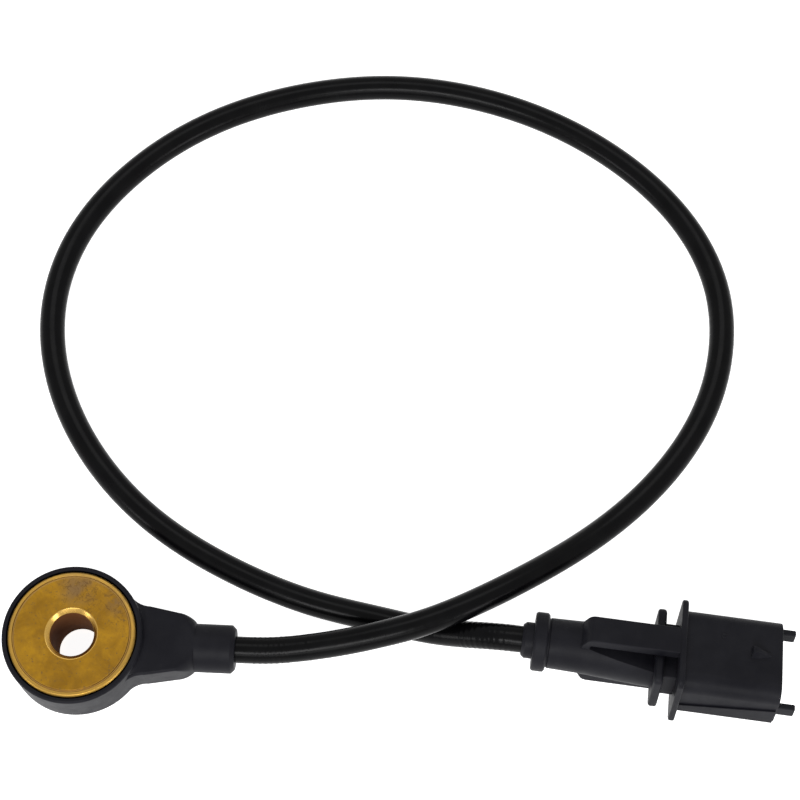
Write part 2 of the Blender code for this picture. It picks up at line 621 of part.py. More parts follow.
def add_plug_front(housing, frame):
    """Two flanges, and the shroud with its locking nose and its two guide prongs."""
    for name, start, sizes in (("rear_flange", REAR_FLANGE_X, REAR_FLANGE),
                               ("front_flange", FRONT_FLANGE_X, FRONT_FLANGE)):
        thickness, width, height, corner = sizes
        flange = flat_solid(name, rounded_rectangle(width, height, corner, corner, 0.0),
                            start, start + thickness, "YZ", frame)
        soften(flange, thickness / 4)
        fuse(housing, flange)

    inside = FRONT_FLANGE_X + FRONT_FLANGE[0] / 2
    fuse(housing, flat_solid("shroud", shroud_outline(), inside, SHROUD_END_X, "YZ", frame))
    reach = SHROUD_WIDTH / 2 + RAIL_LEDGE
    fuse(housing, flat_solid("rails", rail_outline(), -reach, reach, "XZ", frame))
    foot = SHROUD_END_X - NOSE_SETBACK
    nose = flat_solid("locking_nose", [
        (foot, SHROUD_TOP - GAP), (foot - NOSE_LENGTH, SHROUD_TOP + NOSE_HEIGHT),
        (foot - NOSE_LENGTH - GAP, SHROUD_TOP + NOSE_HEIGHT), (foot - NOSE_LENGTH - GAP, SHROUD_TOP - GAP),
    ], -NOSE_WIDTH / 2, NOSE_WIDTH / 2, "XZ", frame)
    fuse(housing, nose)

    well_w = SHROUD_WIDTH - 2 * SHROUD_WALL
    well_h = SHROUD_TOP - SHROUD_BOTTOM - 2 * SHROUD_WALL
    middle = (SHROUD_TOP + SHROUD_BOTTOM) / 2
    corner = SHROUD_CORNER - SHROUD_WALL
    cut(housing, flat_solid("pin_well", rounded_rectangle(well_w, well_h, corner, corner / 2, middle),
                            SHROUD_FLOOR_X, SHROUD_END_X + PRONG_LENGTH, "YZ", frame))
    width, height = PRONG_SIZE
    for name, sign in (("far_prong", 1), ("near_prong", -1)):
        outer = sign * (SHROUD_WIDTH / 2 - GAP / 6)
        inner = outer - sign * (width - GAP / 2)
        fuse(housing, box(name, (SHROUD_END_X - 3 * height, min(outer, inner), PRONG_Z - height / 2),
                          (SHROUD_END_X + PRONG_LENGTH, max(outer, inner), PRONG_Z + height / 2), frame))


def hollow_plug(housing, frame):
    """Room for the carrier, the bent terminals, their crimps and the two cores."""
    half_w, half_h = CARRIER_WIDTH / 2 + GAP, CARRIER_HEIGHT / 2 + GAP
    cut(housing, box("carrier_pocket", (CARRIER_START_X - GAP, -half_w, BLADE_Z - half_h),
                     (SHROUD_FLOOR_X + GAP, half_w, BLADE_Z + half_h), frame))
    crimp = CONDUCTOR_DIAMETER / 2 + GAP + CRIMP_WALL + GAP
    cut(housing, box("crimp_chamber", (CRIMP_START_X - GAP, -CORE_SPREAD - crimp, -crimp),
                     (CARRIER_START_X - 3 * GAP, CORE_SPREAD + crimp, crimp), frame))
    jog_w, jog_h = (PIN_PITCH + BLADE_WIDTH) / 2 + GAP, BLADE_THICKNESS / 2 + GAP
    cut(housing, box("jog_chamber", (CRIMP_END_X - GAP, -jog_w, -jog_h - GAP / 2),
                     (CARRIER_START_X, jog_w, BLADE_Z + jog_h + GAP / 2), frame))
    bore = CORE_DIAMETER / 2 + GAP
    for side, y in (("signal", CORE_SPREAD), ("ground", -CORE_SPREAD)):
        cut(housing, turned(side + "_plug_core_hole", [
            (0.0, CRIMP_START_X), (bore, CRIMP_START_X), (bore, -GAP), (0.0, -GAP),
        ], WIRE_STEPS, (0.0, y, 0.0), "X", frame))


def make_plug_housing(frame):
    """One moulding: cable entry, cone with bridges, two flanges, and the pin shroud."""
    housing = turned("plug_housing", plug_tail_profile(), SMALL_STEPS + 8, (0.0, 0.0, 0.0), "X", frame)
    add_plug_tail(housing, frame)
    add_plug_front(housing, frame)
    hollow_plug(housing, frame)
    finish(housing, "black_moulding")


def make_terminal_carrier(frame):
    """Inner block that holds the two terminals at their pitch."""
    half_w, half_h = CARRIER_WIDTH / 2, CARRIER_HEIGHT / 2
    carrier = box("terminal_carrier", (CARRIER_START_X, -half_w, BLADE_Z - half_h),
                  (CARRIER_END_X, half_w, BLADE_Z + half_h), frame)
    slot_w, slot_h = BLADE_WIDTH / 2 + GAP, BLADE_THICKNESS / 2 + GAP
    for name, y in (("signal_slot", PIN_PITCH / 2), ("ground_slot", -PIN_PITCH / 2)):
        cut(carrier, box(name, (CARRIER_START_X - GAP, y - slot_w, BLADE_Z - slot_h),
                         (CARRIER_END_X + GAP, y + slot_w, BLADE_Z + slot_h), frame))
    finish(carrier, "carrier_plastic")


def blade_outline(sign):
    """Plan of a terminal: a narrow tail at the crimp, a jog outwards, and a tapered blade."""
    y, pitch = CORE_SPREAD, PIN_PITCH / 2
    tail = CONDUCTOR_DIAMETER / 2 + GAP + CRIMP_WALL / 2
    half = BLADE_WIDTH / 2
    start = CRIMP_END_X - 2 * CRIMP_WALL
    jog_start, jog_end = CRIMP_END_X + GAP, CARRIER_START_X - 2 * GAP
    tip = BLADE_WIDTH / 4
    points = [
        (start, y - tail), (jog_start, y - tail), (jog_end, pitch - half), (BLADE_END_X - tip, pitch - half),
        (BLADE_END_X, pitch - half + tip), (BLADE_END_X, pitch + half - tip), (BLADE_END_X - tip, pitch + half),
        (jog_end, pitch + half), (jog_start, y + tail), (start, y + tail),
    ]
    return [(x, sign * across) for x, across in points]


def make_terminals(frame):
    """Two stamped terminals: a blade that bends up from a round crimp on the bare wire."""
    inner = CONDUCTOR_DIAMETER / 2 + GAP
    outer = inner + CRIMP_WALL
    rise_end = CARRIER_START_X - 2 * GAP
    path = [
        (CRIMP_END_X - 3 * CRIMP_WALL, 0.0), (rise_end - BLADE_Z, 0.0),
        (rise_end, BLADE_Z), (BLADE_END_X + GAP, BLADE_Z),
    ]
    reach = PIN_PITCH + BLADE_WIDTH
    for side, sign in (("signal", 1), ("ground", -1)):
        blade = flat_solid(side + "_terminal", strip_outline(path, BLADE_THICKNESS), -reach, reach, "XZ", frame)
        keep_inside(blade, flat_solid(side + "_blade_plan", blade_outline(sign), -reach, reach, "XY", frame))
        fuse(blade, turned(side + "_crimp", [
            (inner, CRIMP_END_X), (outer, CRIMP_END_X), (outer, CRIMP_START_X), (inner, CRIMP_START_X),
        ], WIRE_STEPS + 4, (0.0, sign * CORE_SPREAD, 0.0), "X", frame))
        finish(blade, "tinned_contact")


def make_plug_wires(frame):
    """Cores from the cable entry to the crimps, with their bare ends inside them."""
    core_end = CRIMP_START_X - 2 * GAP
    bare_end = CRIMP_END_X - 2 * CRIMP_WALL - 2 * GAP
    for side, y, colour in (("signal", CORE_SPREAD, "core_white"), ("ground", -CORE_SPREAD, "core_brown")):
        rod("plug_" + side + "_core", CORE_DIAMETER / 2, 0.0, core_end, y, 0.0, colour, frame)
        rod("plug_" + side + "_conductor", CONDUCTOR_DIAMETER / 2, core_end + GAP, bare_end, y,
            0.0, "copper", frame)


def make_plug():
    """The plug is built along +X and then turned to its place on the surface."""
    frame = bpy.data.objects.new("plug_axis", None)
    PARTS.objects.link(frame)
    frame.location = PLUG_ENTRY
    frame.rotation_euler = (PLUG_ROLL, 0.0, PLUG_YAW)
    make_plug_housing(frame)
    make_terminal_carrier(frame)
    make_terminals(frame)
    make_plug_wires(frame)


clear_scene()
PARTS = make_collection("knock_sensor")
CUTTERS = make_collection("cutters")
FINISHES = {name: make_material(name) for name in MATERIALS}
make_base_sleeve()
make_sensor_housing()
make_sensing_stack()
make_sensor_wires()
make_cable()
make_plug()
bpy.context.view_layer.update()
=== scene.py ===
"""Looks of the engine knock sensor: moulded ring sensor, brass sleeve, looped cable and plug.

Everything is in metres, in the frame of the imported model. The origin is on the bolt axis,
+X runs along the neck and +Z out of the brass contact face.
"""

import json
import math

import bmesh
import bpy
import numpy as np
from mathutils import Matrix, Vector


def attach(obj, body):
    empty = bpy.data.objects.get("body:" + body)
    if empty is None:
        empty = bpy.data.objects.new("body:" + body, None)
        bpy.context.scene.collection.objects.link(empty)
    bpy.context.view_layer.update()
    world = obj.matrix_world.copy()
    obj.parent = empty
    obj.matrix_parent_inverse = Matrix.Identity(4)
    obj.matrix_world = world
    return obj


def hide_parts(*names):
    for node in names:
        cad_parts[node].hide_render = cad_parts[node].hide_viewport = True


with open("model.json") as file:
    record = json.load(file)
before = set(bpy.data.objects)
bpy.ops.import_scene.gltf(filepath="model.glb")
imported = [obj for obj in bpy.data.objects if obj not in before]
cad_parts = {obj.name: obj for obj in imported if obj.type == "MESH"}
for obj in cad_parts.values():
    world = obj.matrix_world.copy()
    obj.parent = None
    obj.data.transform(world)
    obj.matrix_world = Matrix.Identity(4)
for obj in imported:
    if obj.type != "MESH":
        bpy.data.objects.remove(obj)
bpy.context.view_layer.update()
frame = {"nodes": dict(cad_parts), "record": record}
REPLACED_NODES = {"cable", "base_sleeve", "sensor_housing", "plug_housing"}
mm = 0.001

# Sensor sizes, as in the part's source
BORE_RADIUS = 4.25 * mm
SENSOR_HEIGHT = 14.0 * mm
SLEEVE_RADIUS = 6.5 * mm
FLANGE_RADIUS = 12.3 * mm
FLANGE_THICKNESS = 2.5 * mm
BORE_CHAMFER = 0.75 * mm
BODY_RADIUS = 13.5 * mm
BODY_TOP = 13.65 * mm
BODY_BOTTOM = 1.6 * mm
FOOT_ROUNDING = 2.0 * mm
FLOOR_TOP = 2.45 * mm
CAVITY_RADIUS = 10.8 * mm
POCKET_RADIUS = 12.6 * mm
LEDGE_Z = 11.2 * mm
SLEEVE_HOLE_RADIUS = 6.8 * mm
NECK_TOP = 11.55 * mm
NECK_BOTTOM = 3.1 * mm
NECK_ROOT_HALF = 6.8 * mm
NECK_TIP_HALF = 5.75 * mm
NECK_FILLET = 5.0 * mm
NECK_ROUNDING = 0.6 * mm
NECK_TIP_X = 20.0 * mm
STEP_FILLET = 1.4 * mm
COLLAR_RADIUS = 4.7 * mm
COLLAR_END_X = 31.0 * mm
CABLE_HEIGHT = 6.8 * mm
CORE_SPREAD = 1.3 * mm
CORE_HOLE_RADIUS = 1.15 * mm

# Sensor sizes of this script's own
LIP_ROUNDING = 0.55 * mm
NECK_START_X = 10.4 * mm
NECK_END_X = 23.4 * mm
COLLAR_ROOT_X = NECK_TIP_X + 0.6 * mm
COLLAR_CHAMFER = 0.75 * mm
# Rim of the brass face: distance in from the edge, depth under the face, corner radius, in mm
RIM = [
    (1.28, 0.0, 0.05), (1.20, 0.28, 0.04), (0.98, 0.28, 0.04),
    (0.86, 0.08, 0.12), (0.34, 0.10, 0.22), (0.0, 0.48, 0.2),
]

# Plug sizes along its own axis, as in the part's source
PLUG_ENTRY = (86.4 * mm, 3.84 * mm, 9.75 * mm)
PLUG_YAW = math.radians(-5.25)
PLUG_ROLL = math.radians(-16.0)
# Flanges: start, end, half width, half height, corner radius
REAR_FLANGE = (25.4 * mm, 27.1 * mm, 8.3 * mm, 5.45 * mm, 1.5 * mm)
FRONT_FLANGE = (29.7 * mm, 30.9 * mm, 9.7 * mm, 7.75 * mm, 1.8 * mm)
SLOT_START = (12.9 * mm, 4.3 * mm)
SLOT_END_Z = 2.9 * mm
BRIDGE_START_X = 11.15 * mm
BRIDGE_TOP = 7.6 * mm
BRIDGE_THICKNESS = 2.2 * mm
BRIDGE_HALF = 2.8 * mm
SHROUD_START_X = FRONT_FLANGE[0] + 0.6 * mm
SHROUD_END_X = 49.3 * mm
SHROUD_HALF = 8.8 * mm
SHROUD_BOTTOM = -3.1 * mm
SHROUD_TOP = 6.25 * mm
SHROUD_CORNER = 3.1 * mm
SHROUD_WALL = 1.4 * mm
SHROUD_FLOOR_X = 34.5 * mm
# Tail from the cable's entry to the flanges: radius, place on the axis, corner radius, in mm
PLUG_TAIL = [
    (0.0, 0.0, 0), (2.95, 0.0, 0.1), (3.5, 0.65, 0.15), (3.5, 2.2, 0.08),
    (5.45, 2.2, 0.3), (5.7, 2.6, 0.3), (5.7, 4.55, 0.3), (5.3, 4.9, 0.3),
    (4.72, 4.9, 0.05), (4.72, 5.15, 0.05), (4.85, 5.3, 0.1), (5.0, 11.0, 0),
    (5.9, 25.8, 0), (5.5, 25.8, 0), (5.5, 30.3, 0), (0.0, 30.3, 0),
]

# Boxes by two opposite corners, in millimetres
FLANGE_BLOCK = ((25.9, -5.9, -3.3), (30.6, 5.9, 3.3))
SENSOR_CHAMBERS = {
    "tab_well": ((9.6, -2.9, 5.9), (12.6, 2.9, 10.75)),
    "solder_chamber": ((9.9, -2.85, 5.75), (17.4, 2.85, 7.95)),
}
PLUG_CHAMBERS = {
    "carrier_pocket": ((20.0, -4.7, -0.2), (34.8, 4.7, 2.4)),
    "crimp_chamber": ((12.5, -2.65, -1.35), (19.4, 2.65, 1.35)),
    "jog_chamber": ((16.7, -4.2, -0.85), (20.3, 4.2, 1.95)),
}

# Cable: the route's points from the part's source, in millimetres
CABLE_DIAMETER = 5.2 * mm
CABLE_ROUTE = [
    (31.3, 0.0, 6.8), (37.0, 0.1, 6.8), (45.5, 1.0, 7.5), (53.0, 2.3, 8.5), (59.7, 3.9, 9.3),
    (65.4, 5.6, 9.7), (72.7, 8.6, 9.8), (79.5, 12.2, 9.3), (86.0, 16.2, 8.1), (94.2, 22.0, 5.6),
    (102.4, 28.6, 3.4), (110.5, 36.3, 2.7), (117.7, 45.3, 2.7), (123.6, 56.5, 2.7),
    (126.6, 69.1, 2.7), (126.0, 82.3, 2.7), (121.3, 94.5, 2.7), (113.6, 104.7, 2.7),
    (104.4, 112.7, 2.7), (89.6, 121.2, 2.7), (74.6, 126.1, 2.7), (57.0, 128.1, 2.7),
    (37.0, 125.5, 2.7), (14.6, 116.2, 2.7), (0.9, 104.9, 2.7),
    (-9.6, 89.0, 2.7), (-13.0, 73.0, 2.7), (-10.3, 56.5, 2.7), (-1.2, 39.8, 2.7),
    (11.2, 27.4, 2.7), (29.0, 17.0, 2.7), (46.5, 10.8, 2.7), (60.0, 8.1, 2.7),
    (66.5, 6.85, 2.85), (71.0, 6.0, 4.05), (75.3, 5.2, 6.3), (79.5, 4.55, 8.5),
    (82.0, 4.25, 9.3), (84.2, 4.04, 9.67), (86.0, 3.875, 9.75),
]
SPLINE_STEPS = 4000
ROUTE_POINTS = 240
CABLE_END_GAP = 0.02 * mm
CABLE_RINGS = 2300
CABLE_SIDES = 24
RIB_FADE = 0.5 * mm
RIB_SHARPNESS = 2.6
RING_HALF_WIDTH = 0.35 * mm
RING_SHARE = 0.9            # height of the single ring mark, as a share of a rib's

# Facets round each turned form
SLEEVE_STEPS = 160
BODY_STEPS = 144
TAIL_STEPS = 112
COLLAR_STEPS = 96
GATE_STEPS = 28
CORE_HOLE_STEPS = 24

# Places of the marks on the brass face
STAIN = (0.0004, 0.0094, 0.014)
STREAK = (0.0088, 0.0064, 0.014)
VEINS_BY_STAIN = (0.0010, 0.0085, 0.014)
VEINS_BY_STREAK = (0.0086, 0.0060, 0.014)

# Light: how bright the white surroundings look, and how much light they give
SEEN_WHITE = 1.0
ROOM_LIGHT = 0.3
FLOOR_GLOW = 0.92
LAMP_TARGET = (0.06, 0.05, 0.0)
# Lamps: place, size, power in watts
LAMPS = {
    "key": ((-0.05, -0.6, 0.7), (0.5, 0.22), 4.6),
    "front": ((0.05, -0.78, 0.46), (0.6, 0.16), 1.1),
    "top": ((0.05, 0.45, 0.8), (0.6, 0.3), 1.2),
    "right": ((0.66, -0.54, 0.27), (0.25, 0.25), 1.3),
    "left": ((-0.68, -0.52, 0.27), (0.25, 0.25), 1.3),
}


# Camera

def set_camera():
    """The photograph's view: from above the near side, through a long lens."""
    position = Vector((0.06751, -0.09249, 0.38725))
    right = Vector((0.99896, 0.0456, -0.0008)).normalized()
    forward = Vector((-0.0171, 0.358, -0.9336)).normalized()
    up = right.cross(forward).normalized()
    right = forward.cross(up).normalized()
    data = bpy.data.cameras.new("camera")
    data.sensor_width = 36.0
    data.lens = 90.0
    data.clip_start = 0.01
    data.clip_end = 10.0
    camera = link("camera", data)
    turn = Matrix((right, up, -forward)).transposed().to_4x4()
    camera.matrix_world = Matrix.Translation(position) @ turn
    bpy.context.scene.camera = camera


# Mesh tools

def link(name, data):
    obj = bpy.data.objects.new(name, data)
    bpy.context.scene.collection.objects.link(obj)
    return obj


def to_mesh(name, build):
    """Make an object from a bmesh that build() fills."""
    shape = bmesh.new()
    build(shape)
    bmesh.ops.recalc_face_normals(shape, faces=shape.faces)
    mesh = bpy.data.meshes.new(name)
    shape.to_mesh(mesh)
    shape.free()
    return link(name, mesh)


def arc(centre, radius, start, end, steps):
    angles = np.radians(np.linspace(start, end, steps + 1))
    return [(centre[0] + radius * math.cos(a), centre[1] + radius * math.sin(a)) for a in angles]


def mirrored(points):
    """Continue half an outline with its mirror image across the first axis."""
    return points + [(x, -y) for x, y in reversed(points)]


def round_corners(corners, steps=5, closed=True):
    """Outline through (a, b, radius in mm) corners; a radius of 0 leaves its corner sharp."""
    points = [(a, b) for a, b, _ in corners]
    out = []
    count = len(points)
    for i, (a, b, radius) in enumerate(corners):
        if radius <= 0 or (not closed and i in (0, count - 1)):
            out.append((a, b))
            continue
        here = Vector((a, b))
        before = (Vector(points[i - 1]) - here).normalized()
        after = (Vector(points[(i + 1) % count]) - here).normalized()
        half = before.angle(after) / 2
        reach = radius * mm / math.tan(half)
        first, last = here + before * reach, here + after * reach
        for k in range(steps + 1):
            t = k / steps
            out.append(tuple(first.lerp(here, t).lerp(here.lerp(last, t), t)))
    return out


def rounded_rectangle(half_w, low, high, top_corner, bottom_corner, steps=8):
    points = arc((half_w - bottom_corner, low + bottom_corner), bottom_corner, -90, 0, steps)
    points += arc((half_w - top_corner, high - top_corner), top_corner, 0, 90, steps)
    points += arc((top_corner - half_w, high - top_corner), top_corner, 90, 180, steps)
    points += arc((bottom_corner - half_w, low + bottom_corner), bottom_corner, 180, 270, steps)
    return points


def turned(name, profile, steps, closed=False, along="Z", centre=(0.0, 0.0, 0.0)):
    """Turn (radius, height) points round an axis; closed joins the last point to the first."""
    on_axis = 1e-7

    def build(shape):
        rings = []
        for radius, height in profile:
            ring = []
            for k in range(steps if radius > on_axis else 1):
                a = 2 * math.pi * k / steps
                p = (radius * math.cos(a), radius * math.sin(a), height)
                if along == "X":
                    p = (p[2], p[0], p[1])
                ring.append(shape.verts.new(Vector(p) + Vector(centre)))
            rings.append(ring)
        pairs = list(zip(rings, rings[1:])) + ([(rings[-1], rings[0])] if closed else [])
        for low, high in pairs:
            for k in range(steps):
                j = (k + 1) % steps
                corners = [low[k % len(low)], low[j % len(low)],
                           high[j % len(high)], high[k % len(high)]]
                unique = list(dict.fromkeys(corners))
                if len(unique) > 2:
                    shape.faces.new(unique)
    return to_mesh(name, build)


def enclose(shape, low, high):
    """Faces over two rings of as many points, and between them."""
    shape.faces.new(low)
    shape.faces.new(high)
    for k in range(len(low)):
        j = (k + 1) % len(low)
        shape.faces.new((low[k], low[j], high[j], high[k]))


def prism(name, outline, low, high, plane="XY"):
    """Extrude an outline between two levels of the axis that its plane leaves out."""
    place = {
        "XY": lambda a, b, c: (a, b, c),
        "XZ": lambda a, b, c: (a, c, b),
        "YZ": lambda a, b, c: (c, a, b),
    }[plane]

    def build(shape):
        enclose(shape, *[[shape.verts.new(place(a, b, level)) for a, b in outline]
                         for level in (low, high)])
    return to_mesh(name, build)


def box_solid(name, low, high):
    outline = [(low[0], low[1]), (high[0], low[1]), (high[0], high[1]), (low[0], high[1])]
    return prism(name, outline, low[2], high[2])


def box_in_mm(name, corners):
    return box_solid(name, *[[value * mm for value in corner] for corner in corners])


def loft(name, sections):
    """Skin a row of sections, each (x, outline in Y and Z) with the same number of points."""
    def build(shape):
        rings = [[shape.verts.new((x, y, z)) for y, z in outline] for x, outline in sections]
        for low, high in zip(rings, rings[1:]):
            for k in range(len(low)):
                j = (k + 1) % len(low)
                shape.faces.new((low[k], low[j], high[j], high[k]))
        shape.faces.new(rings[0])
        shape.faces.new(rings[-1])
    return to_mesh(name, build)


def soften(obj, width, segments=3, angle=50):
    """Round the edges whose faces meet at more than an angle in degrees."""
    bevel = obj.modifiers.new("Rounding", "BEVEL")
    bevel.width = width
    bevel.segments = segments
    bevel.limit_method = "ANGLE"
    bevel.angle_limit = math.radians(angle)
    return obj


def evaluated_mesh(obj):
    """The mesh that an object's modifiers make of it."""
    bpy.context.view_layer.update()
    graph = bpy.context.evaluated_depsgraph_get()
    return bpy.data.meshes.new_from_object(obj.evaluated_get(graph))


def bake(obj):
    """Apply every modifier, so that the object holds a plain mesh."""
    mesh = evaluated_mesh(obj)
    mesh.name = obj.name
    obj.modifiers.clear()
    old = obj.data
    obj.data = mesh
    bpy.data.meshes.remove(old)


def combine(target, tool, operation):
    """Join, cut or keep with another solid, and use that one up."""
    if tool.modifiers:
        bake(tool)
    boolean = target.modifiers.new("Boolean", "BOOLEAN")
    boolean.operation = operation
    boolean.solver = "EXACT"
    boolean.object = tool
    bake(target)
    bpy.data.objects.remove(tool)


def join(target, tool):
    combine(target, tool, "UNION")


def cut(target, tool):
    combine(target, tool, "DIFFERENCE")


def cut_core_holes(target, near, far, height):
    """Two holes along X, one for each insulated core."""
    profile = [(0.0, far), (CORE_HOLE_RADIUS, far), (CORE_HOLE_RADIUS, near), (0.0, near)]
    for y in (CORE_SPREAD, -CORE_SPREAD):
        hole = turned("core_hole", profile, CORE_HOLE_STEPS, along="X", centre=(0.0, y, height))
        cut(target, hole)


def smooth(obj, angle):
    """Smooth the curved faces and keep the edges, with normals weighted by the flats."""
    mesh = obj.data
    shape = bmesh.new()
    shape.from_mesh(mesh)
    bmesh.ops.remove_doubles(shape, verts=shape.verts, dist=2e-6)
    bmesh.ops.dissolve_degenerate(shape, edges=shape.edges, dist=1e-6)
    shape.to_mesh(mesh)
    shape.free()
    mesh.shade_smooth()
    mesh.set_sharp_from_angle(angle=math.radians(angle))
    weighted = obj.modifiers.new("Weighted", "WEIGHTED_NORMAL")
    weighted.keep_sharp = True
    bake(obj)


def plug_turn():
    return Matrix.Rotation(PLUG_YAW, 4, "Z") @ Matrix.Rotation(PLUG_ROLL, 4, "X")


# Materials

class Finish:
    """A Principled material whose colour, roughness and bump come from nodes."""

    def __init__(self, name, roughness, metallic=0.0):
        self.material = bpy.data.materials.new(name)
        self.material.use_nodes = True
        self.nodes = self.material.node_tree.nodes
        self.links = self.material.node_tree.links
        self.shader = self.nodes["Principled BSDF"]
        self.shader.inputs["Roughness"].default_value = roughness
        self.shader.inputs["Metallic"].default_value = metallic
        self.place = self.nodes.new("ShaderNodeTexCoord").outputs["Object"]
        self.relief = None

    def connect(self, source, target):
        self.links.new(source, target)

    def noise(self, scale, detail, grit=0.55, stretch=(1.0, 1.0, 1.0), distortion=0.0):
        mapping = self.nodes.new("ShaderNodeMapping")
        mapping.inputs["Scale"].default_value = stretch
        self.connect(self.place, mapping.inputs["Vector"])
        noise = self.nodes.new("ShaderNodeTexNoise")
        noise.inputs["Scale"].default_value = scale
        noise.inputs["Detail"].default_value = detail
        noise.inputs["Roughness"].default_value = grit
        noise.inputs["Distortion"].default_value = distortion
        self.connect(mapping.outputs["Vector"], noise.inputs["Vector"])
        return noise.outputs["Fac"]

    def spread(self, source, low, high, to_low=0.0, to_high=1.0):
        span = self.nodes.new("ShaderNodeMapRange")
        span.clamp = True
        limits = {"From Min": low, "From Max": high, "To Min": to_low, "To Max": to_high}
        for socket, value in limits.items():
            span.inputs[socket].default_value = value
        self.connect(source, span.inputs["Value"])
        return span.outputs["Result"]

    def mottle(self, scale, detail, low, high, to_low=0.0, to_high=1.0, grit=0.55, distortion=0.0):
        """Noise whose span from low to high is spread over another one."""
        noise = self.noise(scale, detail, grit, distortion=distortion)
        return self.spread(noise, low, high, to_low, to_high)

    def math(self, operation, first, second=0.0):
        node = self.nodes.new("ShaderNodeMath")
        node.operation = operation
        for socket, value in zip(node.inputs, (first, second)):
            if isinstance(value, (int, float)):
                socket.default_value = value
            else:
                self.connect(value, socket)
        return node.outputs[0]

    def times(self, first, second):
        return self.math("MULTIPLY", first, second)

    def blend(self, amount, first, second):
        mix = self.nodes.new("ShaderNodeMix")
        mix.data_type = "RGBA"
        sockets = [s for s in mix.inputs if s.type == "RGBA"]
        for socket, value in zip(sockets, (first, second)):
            if isinstance(value, tuple):
                socket.default_value = (*value, 1.0)
            else:
                self.connect(value, socket)
        self.connect(amount, [s for s in mix.inputs if s.type == "VALUE"][0])
        return [s for s in mix.outputs if s.type == "RGBA"][0]

    def cover(self, tone, mask, strength, colour):
        """Lay a colour over a tone where the mask is 1, at some strength."""
        return self.blend(self.times(mask, strength), tone, colour)

    def axes(self):
        split = self.nodes.new("ShaderNodeSeparateXYZ")
        self.connect(self.place, split.inputs[0])
        return split.outputs["X"], split.outputs["Y"], split.outputs["Z"]

    def near(self, centre, radius, chamfer_highlight):
        """1 inside a ball round a point of the piece, falling to 0 over its edge."""
        away = self.nodes.new("ShaderNodeVectorMath")
        away.operation = "DISTANCE"
        self.connect(self.place, away.inputs[0])
        away.inputs[1].default_value = centre
        return self.spread(away.outputs["Value"], radius, radius + chamfer_highlight, 1.0, 0.0)

    def colour(self, source):
        self.connect(source, self.shader.inputs["Base Color"])

    def roughness(self, source):
        self.connect(source, self.shader.inputs["Roughness"])

    def specular(self, level):
        self.shader.inputs["Specular IOR Level"].default_value = level

    def bump(self, height, depth, strength):
        """Add a bump on top of those that are there."""
        bump = self.nodes.new("ShaderNodeBump")
        bump.inputs["Strength"].default_value = strength
        bump.inputs["Distance"].default_value = depth
        self.connect(height, bump.inputs["Height"])
        if self.relief is not None:
            self.connect(self.relief, bump.inputs["Normal"])
        self.relief = bump.outputs["Normal"]
        self.connect(self.relief, self.shader.inputs["Normal"])


def black_moulding():
    """Satin glass-filled plastic: faint flow marks, fine grain and a few dull scuffs."""
    finish = Finish("black_moulding", 0.45)
    cloud = finish.mottle(140.0, 4.0, 0.38, 0.68)
    tone = finish.blend(cloud, (0.0055, 0.0055, 0.0080), (0.0105, 0.0105, 0.0135))
    scuff = finish.mottle(900.0, 6.0, 0.63, 0.75, grit=0.7)
    finish.colour(finish.cover(tone, scuff, 0.35, (0.030, 0.030, 0.033)))
    finish.roughness(finish.mottle(420.0, 4.0, 0.3, 0.7, 0.46, 0.54))
    finish.specular(0.09)
    finish.bump(finish.noise(5200.0, 3.0, 0.6), 0.000025, 0.35)
    finish.bump(finish.noise(380.0, 3.0), 0.00002, 0.2)
    return finish.material


def cable_rubber():
    """Smooth jacket with a soft gloss, faintly uneven along its length."""
    finish = Finish("cable_jacket", 0.3)
    cloud = finish.mottle(170.0, 4.0, 0.35, 0.7)
    finish.colour(finish.blend(cloud, (0.0015, 0.0015, 0.0018), (0.0034, 0.0034, 0.0037)))
    finish.roughness(finish.mottle(260.0, 5.0, 0.3, 0.72, 0.18, 0.30, grit=0.65))
    finish.specular(0.065)
    finish.bump(finish.noise(1500.0, 4.0, 0.6), 0.00003, 0.25)
    finish.bump(finish.noise(230.0, 2.0), 0.00012, 0.25)
    return finish.material


